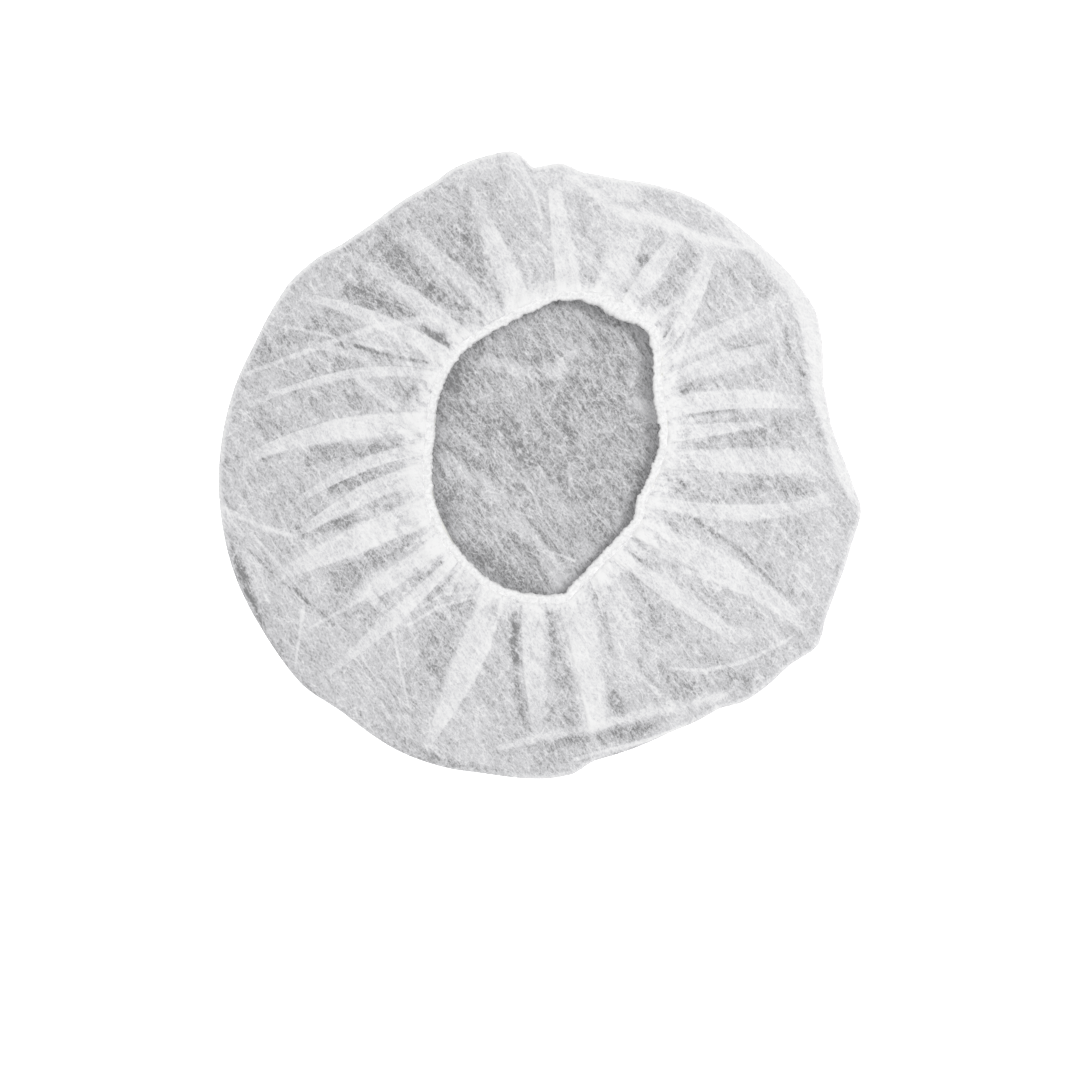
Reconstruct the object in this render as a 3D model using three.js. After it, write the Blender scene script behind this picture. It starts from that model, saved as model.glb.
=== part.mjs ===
import * as THREE from 'three';

// A disposable bouffant hair cover of thin nonwoven cloth, lying on its crown with the opening up.
// One round sheet makes the flat crown below and the gathered skirt above, joined by the folded
// rim. Round the opening the sheet's edge is folded into a narrow casing over a ring of elastic.
// Units are millimetres, +Z is up, and the surface that the cap lies on is z = 0.

// Sizes of the cap as it lies
const RIM_RADIUS = 170; // mean reach of the folded rim from the middle
const HEM_RADIUS = 71.5; // mean reach of the middle of the gathered hem
const HEM_HEIGHT = 20; // mean height of the middle of the hem over the surface
const RIM_BEND = 2.4; // inner radius of the bend where the crown turns into the skirt
const CLOTH = 1.1; // wall of the crown and the skirt
const CASING_WALL = 1.2; // wall of the gathered casing
const ELASTIC = 2.4; // diameter of the elastic
const CLEARANCE = 0.3; // gap between neighbouring pieces
const PLEAT_HEIGHT = 3.4; // height of the tallest pleat over the cloth beside it
const RUFFLE_HEIGHT = 1.6; // height of the small gathers between the pleats at the hem
const SKIRT_PUFF = 2.5; // how far the middle of the skirt swells over a straight slope

// Shares that shape the folds
const PLEAT_CREST = 0.5; // width of a pleat's flat crest, as a share of the pleat's width
const RIM_PINCH = 0.035; // width of a pleat's columns at the rim, as a share of the hem radius
const PLEAT_SHOULDER = 0.45; // share of a pleat's length over which it keeps its full height
const RUFFLE_REACH = 0.3; // share of the skirt that the small gathers run over
const CASING_RIPPLE = 0.05; // how far the casing thins between its gathers, as a share
const SLIT_DIRECTION = -35; // degrees over the outward level, where the casing's edge is open
const SLIT_WIDTH = 44; // degrees of the casing's round that the open edge takes

// Steps of the faceted surface
const CROWN_RINGS = [0.55]; // shares of the crown's reach
const BEND_STEPS = 4;
const SKIRT_STEPS = 6;
const WIDE_GAP = 7; // degrees at the rim past which a gap between pleats has two columns
const CASING_STATIONS = 80;
const CASING_SIDES = 6;
const ELASTIC_SIDES = 6;
const LOOP_SAMPLES = 1440;
const TANGENT_STEP = 0.5; // degrees either side, to find the hem's direction

// Outline of the rim from above: reach as a share of RIM_RADIUS, a row for each corner or hollow
const RIM_OUTLINE = [
  { at: 0, reach: 0.984 },
  { at: 8, reach: 0.945 },
  { at: 15, reach: 0.945 },
  { at: 21, reach: 0.976 },
  { at: 30, reach: 1.016 },
  { at: 46, reach: 1.0 },
  { at: 60, reach: 0.99 },
  { at: 70, reach: 0.965 },
  { at: 80, reach: 0.949 },
  { at: 86, reach: 0.969 },
  { at: 91, reach: 0.953 },
  { at: 95, reach: 1.008 },
  { at: 105, reach: 0.995 },
  { at: 112, reach: 0.963 },
  { at: 125, reach: 0.942 },
  { at: 135, reach: 0.965 },
  { at: 145, reach: 0.992 },
  { at: 155, reach: 0.992 },
  { at: 170, reach: 1.018 },
  { at: 185, reach: 1.035 },
  { at: 200, reach: 1.04 },
  { at: 220, reach: 1.04 },
  { at: 233, reach: 1.013 },
  { at: 245, reach: 1.024 },
  { at: 260, reach: 1.008 },
  { at: 275.5, reach: 1.003 },
  { at: 281, reach: 0.966 },
  { at: 294, reach: 0.957 },
  { at: 306, reach: 0.973 },
  { at: 313, reach: 1.016 },
  { at: 320, reach: 1.027 },
  { at: 327.5, reach: 1.066 },
  { at: 335, reach: 1.038 },
  { at: 345, reach: 1.034 },
  { at: 351.5, reach: 1.043 },
  { at: 355, reach: 1.015 },
];

// The hem from above: reach as a share of HEM_RADIUS, lift as a share of HEM_HEIGHT and swell as a
// share of the casing's usual thickness
const HEM_OVAL = [
  { at: 0, reach: 0.899, lift: 1.12, swell: 1.0 },
  { at: 12, reach: 0.964, lift: 1.14, swell: 1.0 },
  { at: 28, reach: 1.024, lift: 1.16, swell: 1.05 },
  { at: 35, reach: 1.093, lift: 1.16, swell: 1.0 },
  { at: 43, reach: 1.215, lift: 1.16, swell: 1.1 },
  { at: 50, reach: 1.325, lift: 1.15, swell: 1.25 },
  { at: 60, reach: 1.309, lift: 1.14, swell: 1.6 },
  { at: 70, reach: 1.328, lift: 1.12, swell: 1.35 },
  { at: 80, reach: 1.301, lift: 1.1, swell: 1.1 },
  { at: 90, reach: 1.222, lift: 1.06, swell: 1.0 },
  { at: 97, reach: 1.153, lift: 1.04, swell: 1.0 },
  { at: 110, reach: 1.093, lift: 1.0, swell: 1.0 },
  { at: 125, reach: 1.055, lift: 0.96, swell: 1.0 },
  { at: 135, reach: 1.005, lift: 0.92, swell: 1.0 },
  { at: 150, reach: 0.933, lift: 0.88, swell: 1.0 },
  { at: 165, reach: 0.857, lift: 0.85, swell: 1.0 },
  { at: 180, reach: 0.854, lift: 0.84, swell: 1.0 },
  { at: 200, reach: 0.876, lift: 0.84, swell: 1.0 },
  { at: 220, reach: 0.91, lift: 0.86, swell: 1.0 },
  { at: 235, reach: 0.96, lift: 0.88, swell: 1.0 },
  { at: 250, reach: 0.998, lift: 0.9, swell: 1.0 },
  { at: 270, reach: 1.028, lift: 0.94, swell: 1.0 },
  { at: 281, reach: 1.032, lift: 0.97, swell: 1.0 },
  { at: 290, reach: 0.941, lift: 1.0, swell: 1.05 },
  { at: 303, reach: 0.865, lift: 1.04, swell: 1.0 },
  { at: 315, reach: 0.842, lift: 1.07, swell: 1.0 },
  { at: 330, reach: 0.854, lift: 1.1, swell: 1.0 },
  { at: 340, reach: 0.819, lift: 1.1, swell: 1.0 },
  { at: 350, reach: 0.846, lift: 1.12, swell: 1.0 },
];

// The pleats: where each leaves the hem and where its line meets the rim, in degrees; the share of
// the way to the rim where it dies out; its width as a share of HEM_RADIUS; and its height as a
// share of PLEAT_HEIGHT
const PLEATS = [
  { hem: 14, rim: 7, dies: 0.6, wide: 0.08, tall: 0.5 },
  { hem: 26, rim: 11, dies: 0.94, wide: 0.12, tall: 0.7 },
  { hem: 34, rim: 23.5, dies: 0.73, wide: 0.09, tall: 0.6 },
  { hem: 39.5, rim: 33.5, dies: 0.85, wide: 0.07, tall: 0.5 },
  { hem: 46, rim: 44, dies: 0.75, wide: 0.1, tall: 0.8 },
  { hem: 53, rim: 50, dies: 0.5, wide: 0.07, tall: 0.5 },
  { hem: 63, rim: 56.5, dies: 0.71, wide: 0.13, tall: 0.8 },
  { hem: 71, rim: 69, dies: 0.69, wide: 0.19, tall: 0.7 },
  { hem: 81.6, rim: 87.8, dies: 0.88, wide: 0.19, tall: 1.0 },
  { hem: 99.5, rim: 104.5, dies: 0.75, wide: 0.19, tall: 1.0 },
  { hem: 108, rim: 122, dies: 0.93, wide: 0.11, tall: 0.6 },
  { hem: 121, rim: 132.5, dies: 0.89, wide: 0.11, tall: 0.6 },
  { hem: 131, rim: 145.5, dies: 0.98, wide: 0.11, tall: 0.7 },
  { hem: 138.5, rim: 162.5, dies: 0.97, wide: 0.08, tall: 0.5 },
  { hem: 145, rim: 169.5, dies: 0.91, wide: 0.08, tall: 0.6 },
  { hem: 161, rim: 180, dies: 0.95, wide: 0.2, tall: 0.9 },
  { hem: 173.5, rim: 190.5, dies: 0.69, wide: 0.08, tall: 0.5 },
  { hem: 185, rim: 196.5, dies: 0.68, wide: 0.11, tall: 0.6 },
  { hem: 203, rim: 202, dies: 0.78, wide: 0.21, tall: 0.9 },
  { hem: 221, rim: 214, dies: 0.78, wide: 0.11, tall: 0.7 },
  { hem: 235, rim: 223, dies: 0.81, wide: 0.08, tall: 0.5 },
  { hem: 253, rim: 248.3, dies: 0.96, wide: 0.22, tall: 1.0 },
  { hem: 268, rim: 270.3, dies: 0.78, wide: 0.18, tall: 0.8 },
  { hem: 284, rim: 280.5, dies: 0.93, wide: 0.23, tall: 1.0 },
  { hem: 302, rim: 287.5, dies: 0.73, wide: 0.17, tall: 0.8 },
  { hem: 318, rim: 318.5, dies: 0.84, wide: 0.11, tall: 0.7 },
  { hem: 329, rim: 328, dies: 0.96, wide: 0.15, tall: 0.9 },
  { hem: 342, rim: 354.8, dies: 0.94, wide: 0.12, tall: 0.6 },
  { hem: 358, rim: 361, dies: 0.92, wide: 0.17, tall: 0.8 },
];

const CLOTH_WHITE = '#e4e5e6';
const HEM_WHITE = '#f4f4f5';
const ELASTIC_WHITE = '#ededea';

const TURN = 360;
const radians = THREE.MathUtils.degToRad;
const lerp = THREE.MathUtils.lerp;

// A smooth closed loop through one column of a table, read back by its angle in degrees
function polarLoop(rows, column) {
  const corners = rows.map((row) => {
    const angle = radians(row.at);
    return new THREE.Vector3(row[column] * Math.cos(angle), row[column] * Math.sin(angle), 0);
  });
  const curve = new THREE.CatmullRomCurve3(corners, true, 'centripetal');
  const samples = curve.getPoints(LOOP_SAMPLES).slice(0, -1).map((p) => ({
    at: (THREE.MathUtils.radToDeg(Math.atan2(p.y, p.x)) + TURN) % TURN,
    value: Math.hypot(p.x, p.y),
  }));
  samples.sort((a, b) => a.at - b.at);
  return (degrees) => {
    const at = ((degrees % TURN) + TURN) % TURN;
    const found = samples.findIndex((sample) => sample.at > at);
    const next = found < 0 ? 0 : found;
    const last = (next + samples.length - 1) % samples.length;
    const span = (samples[next].at - samples[last].at + TURN) % TURN;
    const share = span > 0 ? ((at - samples[last].at + TURN) % TURN) / span : 0;
    return lerp(samples[last].value, samples[next].value, share);
  };
}

const rimReach = polarLoop(RIM_OUTLINE, 'reach');
const hemReach = polarLoop(HEM_OVAL, 'reach');
const hemLift = polarLoop(HEM_OVAL, 'lift');
const hemSwell = polarLoop(HEM_OVAL, 'swell');

const BORE_RADIUS = ELASTIC / 2 + CLEARANCE;
const CASING_RADIUS = BORE_RADIUS + CASING_WALL;
const RIM_OUTER_BEND = RIM_BEND + CLOTH;

function polarPoint(degrees, radius, height) {
  const angle = radians(degrees);
  return new THREE.Vector3(radius * Math.cos(angle), radius * Math.sin(angle), height);
}

// The middle of the hem's roll at an angle
function hemPoint(degrees) {
  return polarPoint(degrees, HEM_RADIUS * hemReach(degrees), HEM_HEIGHT * hemLift(degrees));
}

// The level direction that points away from the opening, square to the hem
function hemOutward(degrees) {
  const along = hemPoint(degrees + TANGENT_STEP).sub(hemPoint(degrees - TANGENT_STEP));
  return new THREE.Vector3(along.y, -along.x, 0).normalize();
}

// The folds of the skirt, as columns that run from the rim to the hem. Each has its angle at either
// end, its height over the plain cloth and where that height dies out
function skirtColumns() {
  const columns = [];
  const spread = [
    { side: -1, height: 0 },
    { side: -PLEAT_CREST, height: 1 },
    { side: PLEAT_CREST, height: 1 },
    { side: 1, height: 0 },
  ];
  const edges = PLEATS.map((pleat) => {
    const hemHalf = THREE.MathUtils.radToDeg(pleat.wide / hemReach(pleat.hem)) / 2;
    const rimHalf =
      THREE.MathUtils.radToDeg((RIM_PINCH * HEM_RADIUS) / (RIM_RADIUS * rimReach(pleat.rim))) / 2;
    return { pleat, hemHalf, rimHalf };
  });
  edges.forEach(({ pleat, hemHalf, rimHalf }, index) => {
    spread.forEach(({ side, height }) => {
      columns.push({
        hem: pleat.hem + side * hemHalf,
        rim: pleat.rim + side * rimHalf,
        tall: height * pleat.tall * PLEAT_HEIGHT,
        dies: pleat.dies,
      });
    });
    const wraps = index === edges.length - 1;
    const after = edges[wraps ? 0 : index + 1];
    const turn = wraps ? TURN : 0;
    const from = { hem: pleat.hem + hemHalf, rim: pleat.rim + rimHalf };
    const to = {
      hem: after.pleat.hem + turn - after.hemHalf,
      rim: after.pleat.rim + turn - after.rimHalf,
    };
    const inside = to.rim - from.rim > WIDE_GAP ? 2 : 1;
    for (let k = 1; k <= inside; k += 1) {
      const share = k / (inside + 1);
      columns.push({
        hem: lerp(from.hem, to.hem, share),
        rim: lerp(from.rim, to.rim, share),
        tall: (k % 2 === 0 ? 0 : 1) * RUFFLE_HEIGHT,
        dies: RUFFLE_REACH,
      });
    }
  });
  return columns;
}

// Height of a fold at a share of the way from the hem, 0, to the rim, 1
function foldHeight(column, fromHem) {
  const shoulder = column.dies * PLEAT_SHOULDER;
  return column.tall * (1 - THREE.MathUtils.smoothstep(fromHem, shoulder, column.dies));
}

// A point of the cloth's outer skin on the skirt, at a share of the way from the rim to the hem. A
// fold turns evenly round the middle as it runs inwards, and ends square to the hem
function skirtPoint(column, share) {
  const rimPlan = RIM_RADIUS * rimReach(column.rim) - RIM_OUTER_BEND;
  const roll = CASING_RADIUS * hemSwell(column.hem) + CLEARANCE;
  const hemPlan = HEM_RADIUS * hemReach(column.hem) + roll;
  const end = hemPoint(column.hem).addScaledVector(hemOutward(column.hem), roll);
  const squaring = end.clone().sub(polarPoint(column.hem, hemPlan, end.z));
  const slope = lerp(2 * RIM_OUTER_BEND, end.z, share);
  const height = slope + SKIRT_PUFF * Math.sin(Math.PI * share) + foldHeight(column, 1 - share);
  const degrees = lerp(column.rim, column.hem, share);
  return polarPoint(degrees, lerp(rimPlan, hemPlan, share), height).addScaledVector(squaring, share);
}

// The rings of one skin of the cloth, from the crown round the rim to the hem. Depth is how far the
// skin lies inside the outer one
function skinRings(columns, depth) {
  const rings = CROWN_RINGS.map((share) =>
    columns.map(({ rim }) => {
      const reach = RIM_RADIUS * rimReach(rim) - RIM_OUTER_BEND;
      return polarPoint(rim, share * reach, depth);
    }),
  );
  const bend = RIM_OUTER_BEND - depth;
  for (let step = 0; step < BEND_STEPS; step += 1) {
    const lean = Math.PI * (step / BEND_STEPS - 0.5);
    rings.push(
      columns.map(({ rim }) => {
        const middle = RIM_RADIUS * rimReach(rim) - RIM_OUTER_BEND;
        return polarPoint(rim, middle + bend * Math.cos(lean), RIM_OUTER_BEND + bend * Math.sin(lean));
      }),
    );
  }
  for (let step = 0; step <= SKIRT_STEPS; step += 1) {
    rings.push(
      columns.map((column) => {
        const point = skirtPoint(column, step / SKIRT_STEPS);
        point.z -= depth;
        return point;
      }),
    );
  }
  return rings;
}

function geometryOf(points, triangles) {
  const geometry = new THREE.BufferGeometry();
  geometry.setAttribute(
    'position',
    new THREE.Float32BufferAttribute(points.flatMap((p) => [p.x, p.y, p.z]), 3),
  );
  geometry.setIndex(triangles.flat());
  geometry.computeVertexNormals();
  return geometry;
}

// A closed skin over rings of equal length, with a pole at either end
function poledGeometry(first, rings, last) {
  const around = rings[0].length;
  const points = [first, ...rings.flat(), last];
  const at = (ring, index) => 1 + ring * around + (index % around);
  const end = points.length - 1;
  const triangles = [];
  for (let i = 0; i < around; i += 1) {
    triangles.push([0, at(0, i + 1), at(0, i)]);
    for (let ring = 0; ring + 1 < rings.length; ring += 1) {
      triangles.push([at(ring, i), at(ring, i + 1), at(ring + 1, i + 1)]);
      triangles.push([at(ring, i), at(ring + 1, i + 1), at(ring + 1, i)]);
    }
    triangles.push([at(rings.length - 1, i), at(rings.length - 1, i + 1), end]);
  }
  return geometryOf(points, triangles);
}

// A closed ring swept round the hem: section gives the points of one station, turning from outward
// to up
function sweptGeometry(stations, section) {
  const rings = [];
  for (let index = 0; index < stations; index += 1) {
    const degrees = (TURN * index) / stations;
    const middle = hemPoint(degrees);
    const outward = hemOutward(degrees);
    rings.push(
      section(degrees, index).map(({ out, up }) =>
        middle.clone().addScaledVector(outward, out).add(new THREE.Vector3(0, 0, up)),
      ),
    );
  }
  const around = rings[0].length;
  const at = (ring, index) => (ring % stations) * around + (index % around);
  const triangles = [];
  for (let ring = 0; ring < stations; ring += 1) {
    for (let k = 0; k < around; k += 1) {
      triangles.push([at(ring, k), at(ring + 1, k), at(ring + 1, k + 1)]);
      triangles.push([at(ring, k), at(ring + 1, k + 1), at(ring, k + 1)]);
    }
  }
  return geometryOf(rings.flat(), triangles);
}

// The folded casing, open along one edge where its cloth comes in from the skirt
function casingSection(degrees, index) {
  const thin = index % 2 === 0 ? 0 : CASING_RIPPLE;
  const outer = CASING_RADIUS * hemSwell(degrees) * (1 - thin);
  const start = radians(SLIT_DIRECTION + SLIT_WIDTH / 2);
  const span = radians(TURN - SLIT_WIDTH);
  const inner = BORE_RADIUS / Math.cos(span / CASING_SIDES / 2);
  const arc = (radius, step) => {
    const angle = start + (span * step) / CASING_SIDES;
    return { out: radius * Math.cos(angle), up: radius * Math.sin(angle) };
  };
  const steps = Array.from({ length: CASING_SIDES + 1 }, (_, step) => step);
  return [...steps.map((step) => arc(outer, step)), ...steps.reverse().map((step) => arc(inner, step))];
}

function elasticSection() {
  return Array.from({ length: ELASTIC_SIDES }, (_, side) => {
    const angle = radians((TURN * side) / ELASTIC_SIDES);
    return { out: (ELASTIC / 2) * Math.cos(angle), up: (ELASTIC / 2) * Math.sin(angle) };
  });
}

function clothMaterial(colour, roughness) {
  return new THREE.MeshStandardMaterial({ color: colour, roughness, metalness: 0 });
}

function capBody() {
  const columns = skirtColumns();
  const outer = skinRings(columns, 0);
  const inner = skinRings(columns, CLOTH).reverse();
  const middle = (height) => new THREE.Vector3(0, 0, height);
  const geometry = poledGeometry(middle(0), [...outer, ...inner], middle(CLOTH));
  const mesh = new THREE.Mesh(geometry, clothMaterial(CLOTH_WHITE, 0.85));
  mesh.name = 'cap_body';
  return mesh;
}

function hemCasing() {
  const geometry = sweptGeometry(CASING_STATIONS, casingSection);
  const mesh = new THREE.Mesh(geometry, clothMaterial(HEM_WHITE, 0.85));
  mesh.name = 'hem_casing';
  return mesh;
}

function elasticBand() {
  const geometry = sweptGeometry(CASING_STATIONS, elasticSection);
  const mesh = new THREE.Mesh(geometry, clothMaterial(ELASTIC_WHITE, 0.6));
  mesh.name = 'elastic_band';
  return mesh;
}

// The cap stands with the middle of its outline over the origin
function hairCover() {
  const cap = new THREE.Group();
  cap.add(capBody(), hemCasing(), elasticBand());
  const middle = new THREE.Box3().setFromObject(cap).getCenter(new THREE.Vector3());
  cap.position.set(-middle.x, -middle.y, 0);
  return cap;
}

export default hairCover();
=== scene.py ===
# %% [markdown]
# # A disposable bouffant hair cover
#
# The cap is one round sheet of thin nonwoven cloth. Its edge is folded over a ring of elastic and
# gathered, so the sheet draws up into a bag. Here it lies on its crown with the opening up, nearly
# flat: one ply of cloth shows inside the opening, two plies round it, and more in every pleat.
#
# The shapes are worked out with numpy as whole arrays, so that each fold is a row in a table.

# %% Loading the frame
from math import radians

import bpy
import numpy as np
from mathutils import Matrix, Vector


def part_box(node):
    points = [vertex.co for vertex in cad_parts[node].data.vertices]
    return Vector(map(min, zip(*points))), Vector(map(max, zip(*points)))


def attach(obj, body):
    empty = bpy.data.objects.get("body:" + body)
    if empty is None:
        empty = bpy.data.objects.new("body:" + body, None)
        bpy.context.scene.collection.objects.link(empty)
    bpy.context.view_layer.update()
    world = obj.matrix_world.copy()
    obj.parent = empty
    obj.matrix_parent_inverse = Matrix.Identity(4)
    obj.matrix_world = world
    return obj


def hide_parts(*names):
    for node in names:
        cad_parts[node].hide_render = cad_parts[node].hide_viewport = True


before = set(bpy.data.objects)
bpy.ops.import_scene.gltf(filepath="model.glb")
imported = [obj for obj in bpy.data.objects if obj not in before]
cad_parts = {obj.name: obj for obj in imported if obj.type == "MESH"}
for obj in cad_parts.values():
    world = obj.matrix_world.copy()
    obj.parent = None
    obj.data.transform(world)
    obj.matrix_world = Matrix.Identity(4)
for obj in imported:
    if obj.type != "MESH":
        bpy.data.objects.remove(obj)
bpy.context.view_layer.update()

# %% [markdown]
# ## Sizes
#
# Two lengths drive everything, and both come from the frame: half the cap's width, and how high the
# gathered hem stands. The tables below give the rest as shares of them, or in millimetres where a
# width of cloth is the natural thing to say. Angles turn from +X towards +Y. The reaches of the rim
# and the hem were measured on the photograph, and the places of the folds were read off it.

# %% Driving sizes
MM = 0.001
cap_low, cap_high = (np.array(corner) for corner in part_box("cap_body"))
hem_high = np.array(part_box("hem_casing")[1])
HALF_WIDTH = (cap_high[0] - cap_low[0]) / 2
ROLL = 2.8 * MM  # radius of the gathered hem's roll
HEM_TOP = hem_high[2] - 1.8 * ROLL  # middle of the roll where it stands highest
RIM_BEND = 3.0 * MM  # radius of the bend at the rim
CLOTH = 0.3 * MM  # the real cloth is nearer 0.1 mm: it is drawn thicker to stay a wall
FOLD = 1.1 * MM  # height of the tallest pleat
PUFF = 3.0 * MM  # swell of the skirt over a straight slope
print(f"half width {HALF_WIDTH:.4f} m, hem top {HEM_TOP:.4f} m")

# %% Outline of the rim, reach as a share of the half width
RIM_OUTLINE = {
    "at": [0, 4, 9, 15, 20, 25, 30, 36, 46, 55, 62, 70, 76, 81, 86, 88.5, 91, 93.5, 95.5, 101, 106,
           111, 117, 125, 131, 137, 145, 155, 166, 176, 186, 200, 212, 222, 232, 244, 252, 261,
           270, 275.5, 281, 287, 295, 302, 306, 311, 316, 321, 327.3, 332, 338, 345, 351.5, 356],
    "reach": [0.955, 0.932, 0.917, 0.919, 0.942, 0.968, 0.986, 0.982, 0.97, 0.967, 0.957, 0.936,
              0.922, 0.921, 0.941, 0.934, 0.926, 0.967, 0.981, 0.974, 0.962, 0.937, 0.927, 0.914,
              0.92, 0.945, 0.963, 0.963, 0.98, 0.993, 1.003, 1.009, 1.005, 1.008, 0.986, 0.994,
              0.989, 0.977, 0.979, 0.972, 0.938, 0.933, 0.929, 0.939, 0.944, 0.977, 0.99, 0.999,
              1.034, 1.012, 1.004, 1.004, 1.014, 0.982],
}

# %% The hem: reach as a share of the half width, lift of the hem's top, swell of the roll
HEM_OVAL = {
    "at": [0, 10, 20, 28, 35, 40, 45, 50, 55, 60, 65, 70, 76, 82, 88, 94, 101, 110, 125, 135, 143,
           150, 158, 166, 180, 200, 215, 230, 245, 260, 272, 281, 286, 292, 300, 308, 318, 332,
           340, 348],
    "reach": [0.367, 0.39, 0.407, 0.42, 0.446, 0.477, 0.512, 0.543, 0.543, 0.535, 0.538, 0.541,
              0.536, 0.527, 0.507, 0.483, 0.464, 0.447, 0.431, 0.411, 0.396, 0.381, 0.364, 0.35,
              0.348, 0.358, 0.371, 0.38, 0.402, 0.413, 0.42, 0.423, 0.4, 0.381, 0.36, 0.35, 0.347,
              0.348, 0.336, 0.344],
    "lift": [0.97, 0.98, 0.99, 1.0, 1.0, 1.0, 1.0, 1.0, 0.99, 0.98, 0.97, 0.96, 0.95, 0.94, 0.92,
             0.9, 0.88, 0.86, 0.82, 0.8, 0.78, 0.76, 0.74, 0.73, 0.72, 0.72, 0.73, 0.75, 0.77,
             0.79, 0.81, 0.83, 0.85, 0.87, 0.89, 0.91, 0.93, 0.95, 0.96, 0.96],
    "swell": [1.0, 1.0, 1.0, 1.15, 1.0, 1.0, 1.05, 1.2, 1.25, 1.5, 1.75, 1.45, 1.15, 1.05, 1.0,
              1.0, 1.0, 1.0, 1.0, 1.0, 1.0, 1.0, 1.0, 1.0, 1.0, 1.0, 1.0, 1.0, 1.0, 1.0, 1.0, 1.0,
              1.05, 1.1, 1.0, 1.0, 1.0, 1.0, 1.0, 1.0],
}

# %% [markdown]
# ## The pleats
#
# The elastic gathers the skirt, and packing presses the gathers into flat pleats that fan out from
# the hem. They could be simulated, but a table puts each one where the real cap has it.

# %% A row for each pleat
# Each row: degrees at the hem and at the rim, how many degrees the pleat bows half way, share of the
# way out where it dies, its width in millimetres at the hem, half way and at its tip, its height as
# a share of FOLD, the side that its top fold lies to, and how many plies it adds as a share of two.
PLEAT_COLUMNS = ("hem", "rim", "bow", "dies", "wide", "middle", "tip", "tall", "lay", "plies")
PLEATS = [
    (12.5, 10.2, -0.8, 0.66, 8.0, 6.0, 1.6, 0.5, 1, 0.6),
    (23.5, 11.0, 0.5, 0.95, 9.5, 9.5, 8.0, 0.7, 1, 0.9),
    (34.0, 22.4, 0.0, 0.75, 8.0, 9.5, 8.0, 0.6, -1, 0.6),
    (38.8, 32.6, 0.0, 0.85, 5.4, 8.5, 7.0, 0.5, -1, 0.6),
    (42.0, 55.2, -0.6, 0.78, 4.5, 9.5, 5.5, 0.8, 1, 0.9),
    (61.0, 57.6, 0.0, 0.74, 7.5, 9.5, 7.0, 0.8, -1, 0.8),
    (68.4, 67.8, 0.0, 0.68, 15.0, 15.0, 12.0, 0.7, 1, 0.6),
    (79.8, 87.6, 1.0, 0.92, 13.0, 10.5, 5.6, 1.0, -1, 1.15),
    (97.0, 104.4, 1.0, 0.92, 13.0, 10.0, 1.6, 1.0, 1, 1.0),
    (105.6, 121.4, 1.7, 0.93, 7.0, 9.5, 5.0, 0.5, 1, 0.55),
    (120.2, 132.0, 1.5, 0.9, 8.0, 7.0, 3.4, 0.6, 1, 0.8),
    (130.6, 145.8, 0.0, 0.98, 8.0, 8.0, 3.0, 0.7, 1, 1.0),
    (139.0, 171.0, 0.0, 0.96, 5.2, 5.4, 2.4, 0.6, 1, 0.9),
    (161.2, 181.0, 0.0, 0.94, 13.0, 12.0, 4.3, 0.9, 1, 1.0),
    (172.0, 197.6, 0.5, 0.75, 6.5, 6.4, 2.6, 0.5, -1, 0.85),
    (183.0, 200.4, 1.6, 0.68, 9.0, 10.0, 3.0, 0.6, 1, 0.9),
    (202.0, 203.4, 0.0, 0.86, 15.0, 14.0, 5.0, 0.9, -1, 0.95),
    (219.0, 214.6, 0.3, 0.64, 8.5, 9.6, 6.0, 0.7, -1, 0.9),
    (228.4, 224.4, 0.0, 0.95, 4.0, 8.5, 1.8, 0.5, -1, 0.9),
    (251.4, 248.0, 0.3, 0.97, 12.0, 15.0, 2.6, 1.0, -1, 1.0),
    (267.2, 270.6, 0.0, 0.78, 12.5, 11.5, 5.0, 0.8, 1, 0.9),
    (284.8, 281.6, 0.5, 0.93, 18.0, 14.0, 8.0, 1.0, 1, 1.0),
    (303.2, 286.8, 0.0, 0.7, 13.0, 14.0, 9.0, 0.7, -1, 0.5),
    (310.5, 318.6, 2.4, 0.87, 5.5, 10.0, 4.0, 0.7, 1, 0.9),
    (327.0, 327.8, 2.7, 0.97, 10.0, 15.0, 4.0, 0.9, 1, 1.0),
    (341.5, 356.0, -1.8, 0.94, 6.0, 8.6, 6.4, 0.6, -1, 0.8),
    (362.2, 359.8, 0.0, 0.92, 10.0, 13.5, 11.0, 0.8, 1, 0.6),
]
print(len(PLEATS), "pleats")

# %% [markdown]
# ## Curves from tables
#
# Each table is read as a closed curve round the cap. A smooth curve through chosen points can
# swing past them, so the slope at a point is the harmonic mean of the slopes on either side, and
# zero at a peak: the curve then stays between its points, and a sharp corner stays sharp.


# %% Reading a table at any angle
def around(table, column, degrees):
    """Value of a table's column at angles in degrees, by cubic pieces between its rows."""
    at = np.array(table["at"], float)
    value = np.array(table[column], float)
    at = np.concatenate([at[-2:] - 360, at, at[:2] + 360])
    value = np.concatenate([value[-2:], value, value[:2]])
    secant = np.diff(value) / np.diff(at)
    product = secant[:-1] * secant[1:]
    total = np.where(product > 0, secant[:-1] + secant[1:], 1.0)
    slope = np.concatenate([[0.0], np.where(product > 0, 2 * product / total, 0.0), [0.0]])
    angle = np.mod(degrees, 360)
    k = np.clip(np.searchsorted(at, angle, side="right") - 1, 0, len(at) - 2)
    span = at[k + 1] - at[k]
    t = (angle - at[k]) / span
    near = (1 + 2 * t) * (1 - t) ** 2 * value[k] + t * (1 - t) ** 2 * span * slope[k]
    return near + t * t * (3 - 2 * t) * value[k + 1] - t * t * (1 - t) * span * slope[k + 1]


def rim_reach(degrees):
    """Reach of the folded rim from the middle, in metres."""
    return HALF_WIDTH * around(RIM_OUTLINE, "reach", degrees)


def hem_reach(degrees):
    """Reach of the middle of the hem's roll, in metres."""
    return HALF_WIDTH * around(HEM_OVAL, "reach", degrees)


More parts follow.
